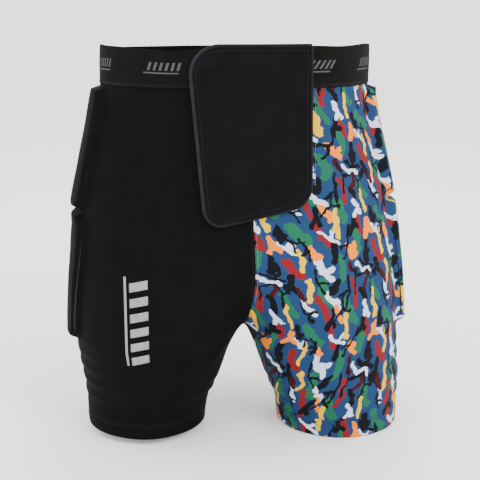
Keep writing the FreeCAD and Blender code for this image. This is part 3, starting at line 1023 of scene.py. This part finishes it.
hook = flapSheet("hookSheet", fastening["hookInset"], fastening["hookOffset"], fastening["thickness"])
hook = keepSide(hook, "hookPatch", fastening["hookEdge"], True)
bpy.data.objects.remove(bpy.data.objects["hookSheet"])
dress(hook, "hook", body=None, replaces=["hook_patch"])
bendTip(hook)


def loopPlace(u, v):
    x, z, _ = flapPlan(u * fastening["loopShare"], v, fastening["loopInset"])
    return frontSurface(x, z, fastening["shellOffset"])


sheet = clothGrid(24, 90, loopPlace, lambda u, v: (u * 32, v * 160))
piece = thicken(meshFrom(sheet, "loopPatch"), fastening["thickness"])
dress(piece, "loop", replaces=["loop_patch"])


def tapePlace(u, v):
    x, z = mix(*fastening["tape"], u), mix(*fastening["tapeHeights"], v)
    return frontSurface(x, z, fastening["shellOffset"])


sheet = clothGrid(5, 70, tapePlace, lambda u, v: (u * 8, v * 117))
piece = thicken(meshFrom(sheet, "flapAnchorTape"), fastening["thickness"])
dress(piece, "edge", replaces=["flap_anchor_tape"])
print("stage: flap made")


def stitchRow(places, points, pitch=2.6, length=1.7, radius=0.26):
    # adds a thread's placing for every pitch along a line of points
    lengths = [0.0]
    for first, second in zip(points, points[1:]):
        lengths.append(lengths[-1] + math.dist(first, second))
    axes = [np.interp(np.arange(pitch / 2, lengths[-1], pitch), lengths, axis) for axis in zip(*points)]
    row = [Vector(p) for p in zip(*axes)]
    for number, place in enumerate(row):
        ahead = row[min(number + 1, len(row) - 1)] - row[max(number - 1, 0)]
        if ahead.length > 0:
            turned = ahead.to_track_quat("X", "Z").to_matrix().to_4x4()
            shape = Matrix.Diagonal((length / 2, radius, radius, 1))
            places.append(Matrix.Scale(mm, 4) @ Matrix.Translation(place) @ turned @ shape)


def threads(name, places):  # one small ellipsoid of thread for each placing
    template = bmesh.new()
    bmesh.ops.create_uvsphere(template, u_segments=6, v_segments=4, radius=1)
    points = np.array([[*vert.co, 1.0] for vert in template.verts])
    faces = [[vert.index for vert in face.verts] for face in template.faces]
    template.free()
    allPoints = np.concatenate([points @ np.array(place).T for place in places])[:, :3]
    starts = range(0, len(allPoints), len(points))
    allFaces = [[index + start for index in face] for start in starts for face in faces]
    mesh = bpy.data.meshes.new(name)
    mesh.from_pydata(allPoints.tolist(), [], allFaces)
    return linkPiece(name, mesh)


def shellPoint(origin, direction, lift=0.2):  # where a ray from outside meets the shell
    found = shellTree.ray_cast(Vector(origin) * mm, Vector(direction))
    if found[0] is None:
        return None
    return tuple(found[0] / mm - Vector(direction) * lift)


def rayRow(row, top, foot, start, direction):  # a row of stitches down the shell
    heights = np.arange(top, foot, -3.0)
    found = [shellPoint((*start, z), direction) for z in heights]
    stitchRow(row, [point for point in found if point])


# how far stitches lie beside a seam, how far out their rays start, and the rows' tops and feet
seams = {
    "beside": 2.4,
    "away": 400,
    "front": (-118, -262),
    "back": (-42, -262),
    "side": (-42, -390),
    "flap": (-43, -138),
}


def seamStitches():
    dark, pale = [], []
    beside, away = seams["beside"], seams["away"]
    for side, row in ((-1, dark), (1, pale)):
        rayRow(row, *seams["front"], (side * beside, -away), (0, 1, 0))
        rayRow(row, *seams["back"], (side * beside, away), (0, -1, 0))
    rayRow(pale, *seams["flap"], (63.6, -away), (0, 1, 0))
    for side, row in ((-1, dark), (1, pale)):
        for shift in (-beside, beside):
            rayRow(row, *seams["side"], (side * away, garment["sideSeam"] + shift), (-side, 0, 0))
    dress(threads("darkSeamStitches", dark), "darkThread")
    dress(threads("paleSeamStitches", pale), "paleThread")


def ringRow(z, side, lift):
    points = []
    for step in range(121):
        x, y, _ = tubePoint(math.tau * step / 120, z, lift)
        points.append((x * -side, y, z))
    return points


def hemStitches():
    for name, side in (("rightHemStitches", -1), ("leftHemStitches", 1)):
        places = []
        for below in (3.0, 6.0):
            points = ringRow(garment["hemTop"] - below, side, 0.3)
            stitchRow(places, points, pitch=2.8, length=1.9, radius=0.22)
        dress(threads(name, places), "darkThread")


def bandStitches():
    places = []
    points = []
    for step in range(401):
        x, y, z = waistbandPlace(mix(0.01, 0.99, step / 400), 0.07)
        scale = 1 + 0.25 / math.hypot(x, y)
        points.append((x * scale, y * scale, z + (1.3 if step % 2 else -1.3)))
    stitchRow(places, points, pitch=2.3, length=2.1, radius=0.24)
    dress(threads("waistbandStitches", places), "darkThread")


def flapStitches():
    path, _ = outlinePath(6.2)
    rows = {"flapTipStitches": [], "flapBaseStitches": []}
    for x, z in path:
        name = "flapTipStitches" if x < flap["split"] else "flapBaseStitches"
        row = rows[name]
        point = frontSurface(x, z, flap["outer"] + 0.45 + flapLift(x, z))
        if row and math.dist(row[-1][-1], point) < 6:
            row[-1].append(point)
        else:
            row.append([point])
    for name, runs in rows.items():
        places = []
        for run in runs:
            if len(run) > 2:
                stitchRow(places, run, pitch=2.5, length=1.7, radius=0.24)
        piece = dress(threads(name, places), "darkThread", body=None)
        if name == "flapTipStitches":
            bendTip(piece)
        else:
            bendBase(piece)


seamStitches()
hemStitches()
bandStitches()
flapStitches()
print("stage: stitches sewn")

# the printed mark on the wearer's right thigh: plain slanted bars beside a line
mark = {
    "middle": -119.0,
    "top": -228.0,
    "foot": -322.0,
    "barWide": 18.5,
    "barTall": 9.0,
    "barRise": 5.0,
    "bars": 6,
    "lineBeside": -9.5,
    "lineWide": 2.4,
}


def printedMark():
    whole = bmesh.new()
    step = (mark["top"] - mark["foot"]) / mark["bars"]

    def addPatch(uCount, vCount, plan):
        def place(u, v):
            x, z = plan(u, v)
            return shellPoint((x, -seams["away"], z), (0, 1, 0), 0.15)

        part = clothGrid(uCount, vCount, place)
        mesh = bpy.data.meshes.new("patch")
        part.to_mesh(mesh)
        part.free()
        whole.from_mesh(mesh)
        bpy.data.meshes.remove(mesh)

    for number in range(mark["bars"]):
        base = mark["foot"] + step * (number + 0.18)
        addPatch(8, 4, lambda u, v: (mark["middle"] + 2.5 + (u - 0.35) * mark["barWide"],
                                     base + v * mark["barTall"] + (u - 0.5) * mark["barRise"]))
    edge = mark["middle"] + mark["lineBeside"]
    addPatch(2, 34, lambda u, v: (edge + u * mark["lineWide"], mix(mark["foot"], mark["top"], v)))
    dress(thicken(meshFrom(whole, "thighMark"), 0.12, 0.0), "grey")


printedMark()

# foam pads: kind, top and foot, span round the body, corner, and how proud of the body's surface
pads = {
    "HipPadUpper": ("side", (-48.3, -168.7), (-34, 70), 14, 7.3),
    "HipPadLower": ("side", (-177.3, -307.7), (-34, 70), 14, 7.3),
    "SeatPad": ("back", (-182.3, -275.7), (7, 98), 28, 10.3),
    "tailbonePad": ("tail", (-62.3, -173.7), (-42, 42), 14, 10.3),
}
# the mesh trays round them: the same, and how far each tray reaches past its pads
linings = {
    "HipLining": ("side", (-48, -308), (-34, 70), 14, 8.0),
    "SeatLining": ("back", (-182, -276), (7, 98), 28, 4.0),
    "tailboneLining": ("tail", (-62, -174), (-42, 42), 14, 4.0),
}
tailboneTaper = 26 / 42


def nodeName(name):  # rightHipLining -> right_hip_lining
    return "".join("_" + letter.lower() if letter.isupper() else letter for letter in name)


def bothSides(name, kind):
    return [(name, -1)] if kind == "tail" else [("right" + name, -1), ("left" + name, 1)]


def padPoint(kind, side, across, z, offset):
    wide, deep, out, back = sectionAt(z)
    if kind == "side":
        turn = math.acos(max(-1, min(1, (back - across) / deep)))
        x, y, _ = tubePoint(turn, z, offset)
        return (x * -side, y, z)
    turn = math.pi - math.asin(max(-1, min(1, (abs(across) - out) / wide)))
    x, y, _ = tubePoint(turn, z, offset)
    return (across if kind == "tail" else x * -side, y, z)


def padPlan(u, v, spanZ, spanAcross, corner, kind, grow=0.0):
    top, foot = spanZ
    low, high = spanAcross
    halfUp, half = (top - foot) / 2 + grow, (high - low) / 2 + grow
    across, up = (u - 0.5) * 2, (v - 0.5) * 2
    s = max(0, abs(across) - 1 + corner / half) / (corner / half)
    t = max(0, abs(up) - 1 + corner / halfUp) / (corner / halfUp)
    gap = min((1 - abs(across)) * half, (1 - abs(up)) * halfUp)
    if s > 0 and t > 0:
        s, t = s * math.sqrt(1 - t * t / 2), t * math.sqrt(1 - s * s / 2)
        across = math.copysign(1 - corner / half * (1 - s), across)
        up = math.copysign(1 - corner / halfUp * (1 - t), up)
        gap = corner * (1 - math.hypot(s, t))
    if kind == "tail":
        across *= mix(tailboneTaper, 1, (up + 1) / 2)
    return (low + high) / 2 + across * half, (top + foot) / 2 + up * halfUp, gap


def padMesh(name, side, kind, spanZ, spanAcross, corner, proud):
    def place(u, v):
        across, z, gap = padPlan(u, v, spanZ, spanAcross, corner, kind)
        edge = 1 - min(1, gap / 4)
        groove = 1.6 * bump((z - spanZ[0]) % 30, 15, 2.2) * smoothStep(gap, 5, 9)
        return padPoint(kind, side, across, z, proud - 2.5 * edge * edge - groove)

    bm = clothGrid(36, 44, place, lambda u, v: (u * 100, v * 120))
    facingOut(bm, (0 if kind == "tail" else side * 90, 0))
    piece = thicken(meshFrom(bm, name), proud + 2.6)
    addModifier(piece, "BEVEL", width=1.2 * mm, segments=2, limit_method="ANGLE")
    dress(applied(piece), "foam", replaces=[nodeName(name)])


def liningMesh(name, side, kind, spanZ, spanAcross, corner, margin):
    def place(u, v):
        across, z, gap = padPlan(u, v, spanZ, spanAcross, corner + margin, kind, margin)
        sunk = mix(1.4, 3.1, smoothStep(gap, margin * 0.3, margin))
        return padPoint(kind, side, across, z, -sunk)

    size = (spanAcross[1] - spanAcross[0] + 2 * margin, spanZ[0] - spanZ[1] + 2 * margin)
    bm = clothGrid(36, 60, place, lambda u, v: (u * size[0], v * size[1]))
    facingOut(bm, (0 if kind == "tail" else side * 90, 0))
    dress(thicken(meshFrom(bm, name), 0.7), "mesh", replaces=[nodeName(name)])


for table, make in ((pads, padMesh), (linings, liningMesh)):
    for part, plan in table.items():
        for name, side in bothSides(part, plan[0]):
            make(name, side, *plan)


label = {"halfWide": 17.5, "foot": -32, "top": -8, "radius": 141, "back": 101.4, "curl": 1.4}


def labelPlace(u, v):  # inside the back of the waistband, with its foot curling off
    x = mix(-label["halfWide"], label["halfWide"], u)
    back = label["back"] - label["curl"] * (1 - v) ** 2
    return (x, back * math.sqrt(1 - (x / label["radius"]) ** 2), mix(label["foot"], label["top"], v))


sheet = clothGrid(12, 10, labelPlace, lambda u, v: (u * 36, v * 24))
piece = thicken(meshFrom(sheet, "sizeLabel"), 0.35)
dress(piece, "satin", replaces=["size_label"])
print("stage: pads, linings and label made")

# the camera and the floor in millimetres; each light's place and size in metres, and its power
studio = {
    "camera": (-114.98, -1093.98, 30.0),
    "yaw": 5.93,
    "pitch": 12.4,
    "lens": 76.92,
    "floor": -419.4,
    "world": 2.3,
    "lightTarget": (0, 0, -0.2),
    "lights": {
        "keyLight": ((0.9, -1.5, 1.1), 0.8, 28),
        "fillLight": ((-1.4, -1.2, 0.5), 1.2, 9),
        "backLight": ((0.2, 1.6, 1.2), 1.0, 14),
    },
}


def addCamera():
    camera = bpy.data.objects.new("camera", bpy.data.cameras.new("camera"))
    bpy.context.scene.collection.objects.link(camera)
    camera.location = Vector(studio["camera"]) * mm
    camera.rotation_euler = (math.radians(90 - studio["pitch"]), 0, math.radians(-studio["yaw"]))
    camera.data.lens = studio["lens"]
    camera.data.sensor_width = 36.0
    camera.data.clip_start = 0.05
    bpy.context.scene.camera = camera


def addLight(name, place, size, power):
    light = bpy.data.objects.new(name, bpy.data.lights.new(name, "AREA"))
    bpy.context.scene.collection.objects.link(light)
    light.data.size = size
    light.data.energy = power
    light.location = place
    aim = Vector(studio["lightTarget"]) - Vector(place)
    light.rotation_euler = aim.to_track_quat("-Z", "Y").to_euler()


def addFloor():
    bm = bmesh.new()
    bmesh.ops.create_grid(bm, x_segments=2, y_segments=2, size=6)
    bmesh.ops.translate(bm, vec=(0, 0, studio["floor"] * mm), verts=bm.verts)
    floor = meshFrom(bm, "floor")
    floor.data.materials.append(newMaterial("paper", "#fbfbfb", 0.9, 0.1))


def addWorld():
    world = bpy.data.worlds.new("studio")
    world.use_nodes = True
    background = world.node_tree.nodes["Background"]
    background.inputs[0].default_value = (1, 1, 1, 1)
    background.inputs[1].default_value = studio["world"]
    bpy.context.scene.world = world


addCamera()
addFloor()
addWorld()
for name, light in studio["lights"].items():
    addLight(name, *light)
print("stage: studio set")
